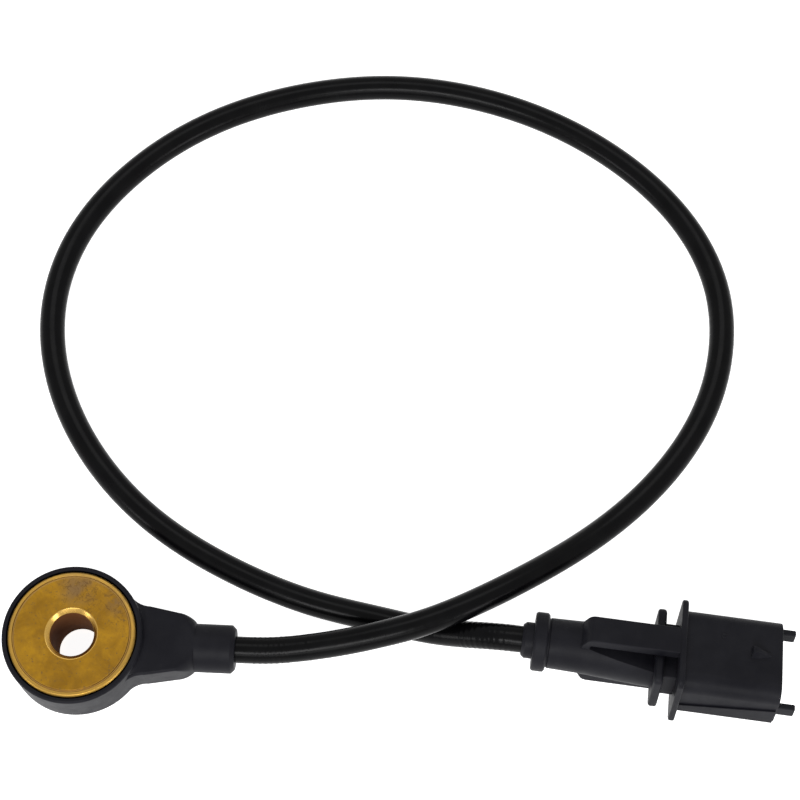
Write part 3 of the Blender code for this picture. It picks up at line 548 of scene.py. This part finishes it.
def aged_brass():
    """Turned brass with a mottled brown patina, a mauve stain and a dark red-brown bore."""
    finish = Finish("brass", 0.36, 1.0)
    finish.specular(0.0)
    x, y, z = finish.axes()
    radius = finish.math("SQRT", finish.math("ADD", finish.times(x, x), finish.times(y, y)))

    broad = finish.mottle(190.0, 5.0, 0.36, 0.66, grit=0.6, distortion=0.6)
    tone = finish.blend(broad, (0.20, 0.100, 0.010), (0.34, 0.178, 0.014))
    fine = finish.mottle(900.0, 6.0, 0.35, 0.75, grit=0.7)
    tone = finish.cover(tone, fine, 0.6, (0.17, 0.090, 0.018))

    stain = finish.times(finish.near(STAIN, 0.0014, 0.0034), finish.mottle(420.0, 4.0, 0.3, 0.6))
    streak = finish.times(finish.near(STREAK, 0.0008, 0.0030),
                          finish.mottle(600.0, 4.0, 0.42, 0.62))
    mauve = finish.math("MAXIMUM", stain, finish.times(streak, 0.8))
    tone = finish.cover(tone, mauve, 0.85, (0.165, 0.100, 0.045))

    tarnished = finish.math("MAXIMUM", finish.near(VEINS_BY_STAIN, 0.0030, 0.0040),
                            finish.near(VEINS_BY_STREAK, 0.0022, 0.0040))
    swirl = finish.noise(330.0, 5.0, 0.6, distortion=1.4)
    line = finish.math("ABSOLUTE", finish.math("SUBTRACT", swirl, 0.5))
    veins = finish.times(finish.spread(line, 0.0, 0.020, 1.0, 0.0), tarnished)
    tone = finish.cover(tone, veins, 0.85, (0.085, 0.045, 0.016))
    flecks = finish.mottle(2100.0, 2.0, 0.645, 0.71, grit=0.5)
    tone = finish.cover(tone, flecks, 0.8, (0.12, 0.075, 0.03))

    land = finish.spread(radius, 0.01085, 0.01115)
    tone = finish.cover(tone, land, 0.45, (0.46, 0.29, 0.075))
    groove = finish.times(finish.spread(radius, 0.01102, 0.01112),
                          finish.spread(radius, 0.01135, 0.01146, 1.0, 0.0))
    tone = finish.cover(tone, groove, 0.6, (0.22, 0.12, 0.04))
    bore = finish.times(finish.spread(radius, 0.00432, 0.00440, 1.0, 0.0),
                        finish.spread(z, 0.01335, 0.01320))
    tone = finish.cover(tone, bore, 0.95, (0.150, 0.055, 0.020))
    # Painted highlight: the chamfer at the bore's mouth is painted a lighter gold all round, and
    # its roughness is lowered
    chamfer_highlight = finish.times(finish.spread(radius, 0.00505, 0.00515, 1.0, 0.0),
                        finish.spread(z, 0.01318, 0.01325))
    tone = finish.cover(tone, chamfer_highlight, 0.75, (0.60, 0.38, 0.10))
    finish.colour(tone)

    finish.connect(finish.spread(bore, 0.0, 1.0, 1.0, 0.2), finish.shader.inputs["Metallic"])
    dull = finish.spread(broad, 0.0, 1.0, 0.40, 0.30)
    dull = finish.math("ADD", dull, finish.times(mauve, 0.12))
    dull = finish.math("ADD", dull, finish.times(bore, 0.25))
    finish.roughness(finish.math("SUBTRACT", dull, finish.times(chamfer_highlight, 0.12)))
    tool_marks = finish.math("SINE", finish.times(radius, 42000.0))
    finish.bump(tool_marks, 0.000004, 0.35)
    finish.bump(finish.noise(1400.0, 5.0, 0.65), 0.00003, 0.35)
    return finish.material


def copper_strands():
    """Bare strands: fine grooves along the wire."""
    finish = Finish("copper", 0.3, 1.0)
    cloud = finish.mottle(900.0, 4.0, 0.35, 0.7)
    finish.colour(finish.blend(cloud, (0.80, 0.36, 0.2), (0.5, 0.2, 0.1)))
    finish.bump(finish.noise(2600.0, 2.0, 0.5, (0.05, 1.0, 1.0)), 0.0001, 0.8)
    return finish.material


def plain_finish(name, light, dark, roughness, metallic):
    """A finish for the pieces inside: a mottled colour, uneven gloss and a fine grain."""
    grain = 900.0
    finish = Finish(name, roughness, metallic)
    finish.colour(finish.blend(finish.mottle(grain / 3, 4.0, 0.35, 0.7), light, dark))
    finish.roughness(finish.mottle(grain, 4.0, 0.3, 0.7, roughness * 0.8, roughness * 1.2))
    finish.bump(finish.noise(grain * 3, 3.0), 0.00003, 0.3)
    return finish.material


# Pieces inside: light colour, dark colour, roughness, metallic
PLAIN_LOOKS = {
    "steel": ((0.46, 0.46, 0.47), (0.36, 0.36, 0.37), 0.32, 1.0),
    "spring_steel": ((0.30, 0.30, 0.32), (0.2, 0.2, 0.21), 0.28, 1.0),
    "piezo_ceramic": ((0.62, 0.56, 0.45), (0.54, 0.48, 0.38), 0.55, 0.0),
    "insulating_film": ((0.55, 0.25, 0.05), (0.42, 0.17, 0.03), 0.3, 0.0),
    "tinned_contact": ((0.70, 0.69, 0.66), (0.55, 0.54, 0.51), 0.26, 1.0),
    "core_white": ((0.75, 0.74, 0.70), (0.68, 0.66, 0.60), 0.45, 0.0),
    "core_brown": ((0.14, 0.06, 0.03), (0.10, 0.04, 0.02), 0.45, 0.0),
    "carrier_plastic": ((0.05, 0.05, 0.055), (0.035, 0.035, 0.04), 0.5, 0.0),
}
FINISHES = {
    "black_moulding": black_moulding(),
    "cable_jacket": cable_rubber(),
    "brass": aged_brass(),
    "copper": copper_strands(),
    **{name: plain_finish(name, *look) for name, look in PLAIN_LOOKS.items()},
}


def dress(obj, slot, *nodes):
    """Give a new piece its finish, and let it stand for its CAD node."""
    obj.data.materials.clear()
    obj.data.materials.append(FINISHES[slot])
    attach(obj, "root")
    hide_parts(*nodes)


def dress_kept_nodes():
    """CAD nodes that stay get their slot's finish."""
    for part in frame["record"]["subparts"]:
        if part["node"] in REPLACED_NODES:
            continue
        obj = frame["nodes"][part["node"]]
        for slot in obj.material_slots:
            slot.material = FINISHES[part["material_slot"]]
        if not obj.material_slots:
            obj.data.materials.append(FINISHES[part["material_slot"]])


# Cable

def smooth_route(points, count):
    """Evenly spaced points on a natural cubic spline through the given ones, and its length."""
    knots = np.array(points)
    spans = np.linalg.norm(np.diff(knots, axis=0), axis=1)
    t = np.concatenate([[0.0], np.cumsum(spans)])
    n = len(knots)
    system, bends = np.eye(n), np.zeros((n, 3))
    for i in range(1, n - 1):
        system[i, i - 1:i + 2] = spans[i - 1], 2 * (spans[i - 1] + spans[i]), spans[i]
        ahead, behind = knots[i + 1] - knots[i], knots[i] - knots[i - 1]
        bends[i] = 6 * (ahead / spans[i] - behind / spans[i - 1])
    second = np.linalg.solve(system, bends)

    def position(u):
        i = min(int(np.searchsorted(t, u, side="right")) - 1, n - 2)
        a, b = (t[i + 1] - u) / spans[i], (u - t[i]) / spans[i]
        curve = (a ** 3 - a) * second[i] + (b ** 3 - b) * second[i + 1]
        return a * knots[i] + b * knots[i + 1] + curve * spans[i] ** 2 / 6

    fine = np.array([position(u) for u in np.linspace(0.0, t[-1], SPLINE_STEPS)])
    run = np.concatenate([[0.0], np.cumsum(np.linalg.norm(np.diff(fine, axis=0), axis=1))])
    places = np.linspace(0.0, run[-1], count)
    return np.column_stack([np.interp(places, run, fine[:, k]) for k in range(3)]), run[-1]


def cable_tree(length):
    """Geometry nodes: a tube along the route, with shallow ribs near both of its ends."""
    tree = bpy.data.node_groups.new("cable_jacket", "GeometryNodeTree")
    tree.interface.new_socket(name="Route", in_out="INPUT", socket_type="NodeSocketGeometry")
    sizes = {
        "Radius": CABLE_DIAMETER / 2, "Length": length,
        "Rib depth": 0.018,         # as a share of the radius
        "Rib pitch": 1.06 * mm,
        "Sensor ribs start": 2.6 * mm, "Sensor ribs end": 10.4 * mm, "Ring place": 14.4 * mm,
        "Plug ribs start": 0.8 * mm, "Plug ribs end": 12.4 * mm,
    }
    for name, value in sizes.items():
        socket = tree.interface.new_socket(name=name, in_out="INPUT", socket_type="NodeSocketFloat")
        socket.default_value = value
    tree.interface.new_socket(name="Jacket", in_out="OUTPUT", socket_type="NodeSocketGeometry")
    nodes, links = tree.nodes, tree.links
    entry, exit_node = nodes.new("NodeGroupInput"), nodes.new("NodeGroupOutput")

    def math_node(operation, *values, clamp=False):
        node = nodes.new("ShaderNodeMath")
        node.operation = operation
        node.use_clamp = clamp
        for socket, value in zip(node.inputs, values):
            if isinstance(value, (int, float)):
                socket.default_value = value
            else:
                links.new(value, socket)
        return node.outputs[0]

    resample = nodes.new("GeometryNodeResampleCurve")
    resample.inputs["Count"].default_value = CABLE_RINGS
    links.new(entry.outputs["Route"], resample.inputs["Curve"])
    along = nodes.new("GeometryNodeSplineParameter").outputs["Length"]
    back = math_node("SUBTRACT", entry.outputs["Length"], along)

    def window(distance, start, end):
        """1 between two places on the cable, fading to 0 at both of them."""
        rise = math_node("DIVIDE", math_node("SUBTRACT", distance, start), RIB_FADE, clamp=True)
        fall = math_node("DIVIDE", math_node("SUBTRACT", end, distance), RIB_FADE, clamp=True)
        return math_node("MULTIPLY", rise, fall)

    def ribs(distance, start, end):
        turns = math_node("DIVIDE", math_node("SUBTRACT", distance, start),
                          entry.outputs["Rib pitch"])
        wave = math_node("COSINE", math_node("MULTIPLY", turns, 2 * math.pi))
        hump = math_node("POWER", math_node("MULTIPLY_ADD", wave, 0.5, 0.5), RIB_SHARPNESS)
        return math_node("MULTIPLY", hump, window(distance, start, end))

    sensor_ribs = ribs(along, entry.outputs["Sensor ribs start"], entry.outputs["Sensor ribs end"])
    plug_ribs = ribs(back, entry.outputs["Plug ribs start"], entry.outputs["Plug ribs end"])
    away = math_node("ABSOLUTE", math_node("SUBTRACT", along, entry.outputs["Ring place"]))
    ring = math_node("SUBTRACT", 1.0, math_node("DIVIDE", away, RING_HALF_WIDTH), clamp=True)
    total = math_node("ADD", math_node("ADD", sensor_ribs, plug_ribs),
                      math_node("MULTIPLY", ring, RING_SHARE))
    scale = math_node("MULTIPLY_ADD", total, entry.outputs["Rib depth"], 1.0)
    set_radius = nodes.new("GeometryNodeSetCurveRadius")
    links.new(resample.outputs["Curve"], set_radius.inputs["Curve"])
    links.new(scale, set_radius.inputs["Radius"])

    section = nodes.new("GeometryNodeCurvePrimitiveCircle")
    section.inputs["Resolution"].default_value = CABLE_SIDES
    links.new(entry.outputs["Radius"], section.inputs["Radius"])
    tube = nodes.new("GeometryNodeCurveToMesh")
    tube.inputs["Fill Caps"].default_value = True
    links.new(set_radius.outputs["Curve"], tube.inputs["Curve"])
    links.new(section.outputs["Curve"], tube.inputs["Profile Curve"])
    if "Scale" in tube.inputs:
        links.new(nodes.new("GeometryNodeInputRadius").outputs[0], tube.inputs["Scale"])
    shade = nodes.new("GeometryNodeSetShadeSmooth")
    links.new(tube.outputs["Mesh"], shade.inputs["Geometry"])
    realize = nodes.new("GeometryNodeRealizeInstances")
    links.new(shade.outputs["Geometry"], realize.inputs["Geometry"])
    finish = nodes.new("GeometryNodeSetMaterial")
    finish.inputs["Material"].default_value = FINISHES["cable_jacket"]
    links.new(realize.outputs["Geometry"], finish.inputs["Geometry"])
    links.new(finish.outputs["Geometry"], exit_node.inputs["Jacket"])
    return tree


def make_cable():
    """Jacket along the route, from the collar to the plug's entry."""
    knots = [[value * mm for value in point] for point in CABLE_ROUTE]
    route, length = smooth_route(knots[:-1], ROUTE_POINTS)
    collar_face = (COLLAR_END_X + CABLE_END_GAP, 0.0, CABLE_HEIGHT)
    plug_face = Vector(PLUG_ENTRY) - plug_turn() @ Vector((CABLE_END_GAP, 0.0, 0.0))
    route = np.vstack([collar_face, route, knots[-1], plug_face])
    length += (math.dist(knots[-1], knots[-2]) + math.dist(collar_face, knots[0])
               + math.dist(plug_face, knots[-1]))
    curve = bpy.data.curves.new("cable_run", "CURVE")
    curve.dimensions = "3D"
    spline = curve.splines.new("POLY")
    spline.points.add(len(route) - 1)
    for point, place in zip(spline.points, route):
        point.co = (*place, 1.0)
    run = link("cable_run", curve)
    modifier = run.modifiers.new("Jacket", "NODES")
    modifier.node_group = cable_tree(length)
    mesh = evaluated_mesh(run)
    bpy.data.objects.remove(run)
    mesh.name = "cable_jacket_ribbed"
    jacket = link("cable_jacket_ribbed", mesh)
    shape = bmesh.new()
    shape.from_mesh(mesh)
    bmesh.ops.recalc_face_normals(shape, faces=shape.faces)
    shape.to_mesh(mesh)
    shape.free()
    mesh.set_sharp_from_angle(angle=math.radians(50))
    dress(jacket, "cable_jacket", "cable")
    return jacket, route, length


# Sensor

def make_brass_sleeve():
    """Turned sleeve: rounded rim land, groove, face, chamfered bore and rear spigot."""
    top, flange, bore, chamfer = SENSOR_HEIGHT, FLANGE_RADIUS, BORE_RADIUS, BORE_CHAMFER
    under = top - FLANGE_THICKNESS
    corners = [(bore + chamfer, top, 0.16)]
    corners += [(flange - inward * mm, top - depth * mm, radius) for inward, depth, radius in RIM]
    corners += [
        (flange, under, 0.05), (SLEEVE_RADIUS, under, 0.1), (SLEEVE_RADIUS, 0.0, 0.2),
        (bore + chamfer, 0.0, 0.12), (bore, chamfer, 0.12), (bore, top - chamfer, 0.16),
    ]
    sleeve = turned("brass_sleeve", round_corners(corners), SLEEVE_STEPS, closed=True)
    smooth(sleeve, 34)
    dress(sleeve, "brass", "base_sleeve")


def make_ring_body():
    """Ring body, still without its hollow: a roof that the pocket cuts away, a lip and a foot."""
    roof = BODY_TOP - 0.4 * mm
    lip, foot = LIP_ROUNDING, FOOT_ROUNDING
    profile = [(0.0, roof), (POCKET_RADIUS - 0.5 * mm, roof), (POCKET_RADIUS, BODY_TOP)]
    profile += arc((BODY_RADIUS - lip, BODY_TOP - lip), lip, 90, 0, 8)
    profile += arc((BODY_RADIUS - foot, BODY_BOTTOM + foot), foot, 0, -90, 12)
    profile += [(0.0, BODY_BOTTOM)]
    return turned("sensor_moulding", profile, BODY_STEPS)


def neck_half_width(x):
    """Half width of the neck: a hollow fillet off the body, then a taper."""
    centre_y = NECK_ROOT_HALF + NECK_FILLET
    centre_x = math.sqrt((BODY_RADIUS + NECK_FILLET) ** 2 - centre_y ** 2)
    if x < centre_x:
        return centre_y - math.sqrt(NECK_FILLET ** 2 - (x - centre_x) ** 2)
    return np.interp(x, [centre_x, NECK_TIP_X], [NECK_ROOT_HALF, NECK_TIP_HALF])


def make_neck():
    """Neck that turns from a flat-sided section at the body into the round collar."""
    corner_steps, tip_steps = 9, 16
    middle, half_height = (NECK_TOP + NECK_BOTTOM) / 2, (NECK_TOP - NECK_BOTTOM) / 2
    sections = []
    for x in [*np.linspace(NECK_START_X, 14.2 * mm, 12), *np.linspace(15.2 * mm, NECK_TIP_X, 6)]:
        sections.append((x, rounded_rectangle(
            neck_half_width(x), NECK_BOTTOM, NECK_TOP, NECK_ROUNDING, NECK_ROUNDING, corner_steps)))

    end_half, end_height = COLLAR_RADIUS - 0.25 * mm, COLLAR_RADIUS - 0.15 * mm
    draft = 0.18 * mm
    corner_margin = 0.7 * mm    # leaves 0.1 mm of flat beside the corners at the collar
    for k in range(1, tip_steps + 1):
        t = k / tip_steps
        x = NECK_TIP_X + (NECK_END_X - NECK_TIP_X) * t
        ease = 1.0 - math.sqrt(1.0 - t ** 2)
        half = NECK_TIP_HALF + (end_half - NECK_TIP_HALF) * ease - draft * t
        height = half_height + (end_height - half_height) * ease
        centre = middle + (CABLE_HEIGHT - middle) * ease
        corner = NECK_ROUNDING + (min(half, height) - corner_margin) * t ** 1.5
        sections.append((x, rounded_rectangle(
            half, centre - height, centre + height, corner, corner, corner_steps)))
    return loft("neck", sections)


def make_neck_step():
    """Hollow step from the neck's top up to the body, a little narrower than the neck."""
    inside, outside = BODY_RADIUS - 0.8 * mm, BODY_RADIUS + STEP_FILLET
    top, buried = NECK_TOP + STEP_FILLET, NECK_TOP - 0.7 * mm
    profile = [(inside, top)] + arc((outside, top), STEP_FILLET, 181, 268, 10)
    profile += [(outside, buried), (inside, buried)]
    step = turned("neck_step", profile, BODY_STEPS, closed=True)
    side = [(x, neck_half_width(x) - 0.5 * mm) for x in np.linspace(NECK_START_X, 17.0 * mm, 20)]
    plan = [(0.0, 0.0)] + mirrored(side)
    combine(step, prism("step_plan", plan, NECK_BOTTOM, SENSOR_HEIGHT), "INTERSECT")
    return step


def make_collar():
    """Round collar with a chamfered end."""
    radius, end, chamfer = COLLAR_RADIUS, COLLAR_END_X, COLLAR_CHAMFER
    profile = round_corners([
        (0.0, COLLAR_ROOT_X, 0), (radius, COLLAR_ROOT_X, 0), (radius, end - chamfer, 0.35),
        (radius - chamfer, end, 0.25), (0.0, end, 0),
    ], closed=False)
    return turned("collar", profile, COLLAR_STEPS, along="X", centre=(0.0, 0.0, CABLE_HEIGHT))


def make_sensor_moulding():
    """Ring body, neck and collar in one moulding, hollow like the CAD node."""
    body = make_ring_body()
    join(body, make_neck())
    join(body, make_neck_step())
    join(body, make_collar())
    cut(body, turned("body_hollow", [
        (0.0, SENSOR_HEIGHT), (POCKET_RADIUS, SENSOR_HEIGHT), (POCKET_RADIUS, LEDGE_Z),
        (CAVITY_RADIUS, LEDGE_Z), (CAVITY_RADIUS, FLOOR_TOP), (SLEEVE_HOLE_RADIUS, FLOOR_TOP),
        (SLEEVE_HOLE_RADIUS, 0.0), (0.0, 0.0),
    ], BODY_STEPS))
    for name, corners in SENSOR_CHAMBERS.items():
        cut(body, box_in_mm(name, corners))
    cut_core_holes(body, 17.1 * mm, COLLAR_END_X + mm, CABLE_HEIGHT)
    smooth(body, 30)
    dress(body, "black_moulding", "sensor_housing")


# Plug

def plug_tail():
    """Entry ring, grip ring, barrel and cone, turned on the plug's axis."""
    corners = [(radius * mm, place * mm, corner) for radius, place, corner in PLUG_TAIL]
    return turned("plug_moulding", round_corners(corners, closed=False), TAIL_STEPS, along="X")


def slot_outline(sign):
    """Side view of the slot between the cone and a bridge, with the room for the bridge."""
    start, far = SLOT_START[0], FRONT_FLANGE[1]
    side = [SLOT_START, (REAR_FLANGE[0] + 0.3 * mm, SLOT_END_Z), (far, SLOT_END_Z),
            (far, BRIDGE_TOP), (start, BRIDGE_TOP)]
    return [(x, sign * z) for x, z in side]


def bridge_outline(sign):
    """Side view of a bridge, with its rounded shoulder and its rounded slot end."""
    start, inner = BRIDGE_START_X, SLOT_START[0]
    under, root = BRIDGE_TOP - BRIDGE_THICKNESS, SLOT_START[1] - 0.6 * mm
    end = FRONT_FLANGE[0] + 0.4 * mm
    side = round_corners([
        (start, root, 0), (start, 4.95 * mm, 2.0), (start + 1.35 * mm, BRIDGE_TOP, 1.8),
        (end, BRIDGE_TOP, 0), (end, under, 0), (inner, under, 0.35), (inner, root, 0),
    ], 8)
    return [(x, sign * z) for x, z in side]


def flange(name, sizes, chamfer_highlight):
    start, end, half_w, half_h, corner = sizes
    outline = rounded_rectangle(half_w, -half_h, half_h, corner, corner)
    return soften(prism(name, outline, start, end, "YZ"), chamfer_highlight, 4)


def shroud_outline():
    """Section of the shroud: round upper corners and nearly square lower ones."""
    half, corner, low_corner = SHROUD_HALF, SHROUD_CORNER, 0.3 * mm
    right = arc((half - low_corner, SHROUD_BOTTOM + low_corner), low_corner, -90, 0, 4)
    right += arc((half - corner, SHROUD_TOP - corner), corner, 0, 90, 12)
    return right + [(-y, z) for y, z in reversed(right)]


def rails():
    """Ledges along the shroud's lower sides, higher towards the mouth."""
    end, low = SHROUD_END_X - 0.3 * mm, SHROUD_BOTTOM - 0.05 * mm
    reach = SHROUD_HALF + 0.35 * mm
    side = [(SHROUD_START_X, low), (end, low), (end, low + 4.4 * mm),
            (SHROUD_START_X, low + 2.1 * mm)]
    return soften(prism("rails", side, -reach, reach, "XZ"), 0.12 * mm, 2)


def locking_nose():
    """Ramp on the shroud's roof: a steep back, and a ridge that falls to a point at the mouth."""
    back, foot = SHROUD_END_X - 6.1 * mm, SHROUD_END_X - 1.6 * mm
    roof = SHROUD_TOP - 0.2 * mm
    base = mirrored([(back, 1.15 * mm), (back + 1.5 * mm, 1.1 * mm), (foot, 0.3 * mm)])
    crest = mirrored([(back + 0.25 * mm, 0.65 * mm), (back + 1.0 * mm, 0.55 * mm),
                      (back + 2.3 * mm, 0.25 * mm)])
    rises = [1.85 * mm, 1.85 * mm, 1.2 * mm, 1.2 * mm, 1.85 * mm, 1.85 * mm]

    def build(shape):
        enclose(shape, [shape.verts.new((x, y, roof)) for x, y in base],
                [shape.verts.new((x, y, roof + rise)) for (x, y), rise in zip(crest, rises)])
        bmesh.ops.triangulate(shape, faces=shape.faces)
    return soften(to_mesh("locking_nose", build), 0.07 * mm, 2, 35)


def gate_mark():
    """Small raised ring that the moulding gate left on the shroud's roof."""
    top, root = SHROUD_TOP, SHROUD_TOP - 0.2 * mm
    profile = round_corners([
        (0.0, top + 0.06 * mm, 0), (0.22 * mm, top + 0.06 * mm, 0.05),
        (0.30 * mm, top + 0.18 * mm, 0.05), (0.50 * mm, top + 0.16 * mm, 0.08),
        (0.58 * mm, root, 0), (0.0, root, 0),
    ], 3, closed=False)
    return turned("gate_mark", profile, GATE_STEPS, centre=(38.0 * mm, 3.0 * mm, 0.0))


def well_outline(margin=0.0, rounder=0.0):
    """Section of the pin well, or one that is wider all round and has rounder corners."""
    middle = (SHROUD_TOP + SHROUD_BOTTOM) / 2
    half_w = SHROUD_HALF - SHROUD_WALL
    half_h = (SHROUD_TOP - SHROUD_BOTTOM) / 2 - SHROUD_WALL
    corner = SHROUD_CORNER - SHROUD_WALL
    return rounded_rectangle(half_w + margin, middle - half_h - margin, middle + half_h + margin,
                             corner + rounder, corner / 2 + rounder)


def cut_mouth(plug):
    """Pin well, with a lead-in at its mouth."""
    well = prism("pin_well", well_outline(), SHROUD_FLOOR_X, SHROUD_END_X + 4 * mm, "YZ")
    cut(plug, soften(well, 0.25 * mm, 3, 60))
    lead = 0.35 * mm
    cut(plug, loft("mouth_lead", [(SHROUD_END_X - lead, well_outline()),
                                  (SHROUD_END_X + lead, well_outline(2 * lead, lead))]))


def prong(sign):
    """Guide prong at one side of the mouth."""
    outer = sign * (SHROUD_HALF - 0.05 * mm)
    inner = outer - sign * 1.25 * mm
    low = (SHROUD_END_X - 8 * mm, min(outer, inner), -0.4 * mm)
    high = (SHROUD_END_X + 3.2 * mm, max(outer, inner), 2.3 * mm)
    return soften(box_solid("prong", low, high), 0.3 * mm)


def make_plug_moulding():
    """The plug's whole moulding, made along +X and then turned to its place."""
    plug = plug_tail()
    for sign in (1, -1):
        cut(plug, prism("slot", slot_outline(sign), -SHROUD_HALF, SHROUD_HALF, "XZ"))
    join(plug, soften(box_in_mm("flange_block", FLANGE_BLOCK), 0.25 * mm))
    for sign in (1, -1):
        bridge = prism("bridge", bridge_outline(sign), -BRIDGE_HALF, BRIDGE_HALF, "XZ")
        join(plug, soften(bridge, 0.4 * mm, 4, 40))
    join(plug, flange("rear_flange", REAR_FLANGE, 0.55 * mm))
    join(plug, flange("front_flange", FRONT_FLANGE, 0.38 * mm))
    shroud = prism("shroud", shroud_outline(), SHROUD_START_X, SHROUD_END_X, "YZ")
    join(plug, soften(shroud, 0.18 * mm, 3, 60))
    join(plug, rails())
    join(plug, locking_nose())
    join(plug, gate_mark())
    cut_mouth(plug)
    for sign in (1, -1):
        join(plug, prong(sign))
    for name, corners in PLUG_CHAMBERS.items():
        cut(plug, box_in_mm(name, corners))
    cut_core_holes(plug, -mm, 12.8 * mm, 0.0)
    smooth(plug, 30)
    plug.data.transform(Matrix.Translation(PLUG_ENTRY) @ plug_turn())
    dress(plug, "black_moulding", "plug_housing")
    return plug


# Floor and light

def seen_ray(nodes, links):
    """1 for the rays that see the background: from the camera, off metal, or through glass."""
    path = nodes.new("ShaderNodeLightPath")
    total = path.outputs["Is Camera Ray"]
    for name in ("Is Glossy Ray", "Is Transmission Ray"):
        either = nodes.new("ShaderNodeMath")
        either.operation = "MAXIMUM"
        links.new(total, either.inputs[0])
        links.new(path.outputs[name], either.inputs[1])
        total = either.outputs[0]
    return total


def make_floor():
    """White floor that still takes the object's shadow."""
    half, bottom, top = 3.0, -0.01, -0.00005
    floor = box_solid("floor", (-half, -half, bottom), (half, half, top))
    material = bpy.data.materials.new("floor")
    material.use_nodes = True
    nodes, links = material.node_tree.nodes, material.node_tree.links
    shader = nodes["Principled BSDF"]
    shader.inputs["Base Color"].default_value = (0.88, 0.88, 0.88, 1.0)
    shader.inputs["Roughness"].default_value = 0.9
    shader.inputs["Specular IOR Level"].default_value = 0.1
    glow = nodes.new("ShaderNodeMath")
    glow.operation = "MULTIPLY"
    links.new(seen_ray(nodes, links), glow.inputs[0])
    glow.inputs[1].default_value = FLOOR_GLOW
    shader.inputs["Emission Color"].default_value = (1.0, 1.0, 1.0, 1.0)
    links.new(glow.outputs[0], shader.inputs["Emission Strength"])
    floor.data.materials.append(material)


def add_lamp(name, place, size, power):
    data = bpy.data.lights.new(name, "AREA")
    data.shape = "RECTANGLE"
    data.size, data.size_y = size
    data.energy = power
    lamp = link(name, data)
    lamp.location = place
    towards = Vector(LAMP_TARGET) - Vector(place)
    lamp.rotation_euler = towards.to_track_quat("-Z", "Y").to_euler()


def set_light():
    """White surroundings and five soft lamps."""
    world = bpy.data.worlds.new("studio")
    bpy.context.scene.world = world
    world.use_nodes = True
    nodes, links = world.node_tree.nodes, world.node_tree.links
    background = nodes["Background"]
    level = nodes.new("ShaderNodeMapRange")
    level.inputs["To Min"].default_value = ROOM_LIGHT
    level.inputs["To Max"].default_value = SEEN_WHITE
    links.new(seen_ray(nodes, links), level.inputs["Value"])
    background.inputs["Color"].default_value = (1.0, 1.0, 1.0, 1.0)
    links.new(level.outputs["Result"], background.inputs["Strength"])
    for name, (place, size, power) in LAMPS.items():
        add_lamp(name, place, size, power)


set_camera()
jacket, route, cable_length = make_cable()
make_brass_sleeve()
make_sensor_moulding()
plug = make_plug_moulding()
dress_kept_nodes()
make_floor()
set_light()
bpy.context.scene.view_settings.view_transform = "Standard"
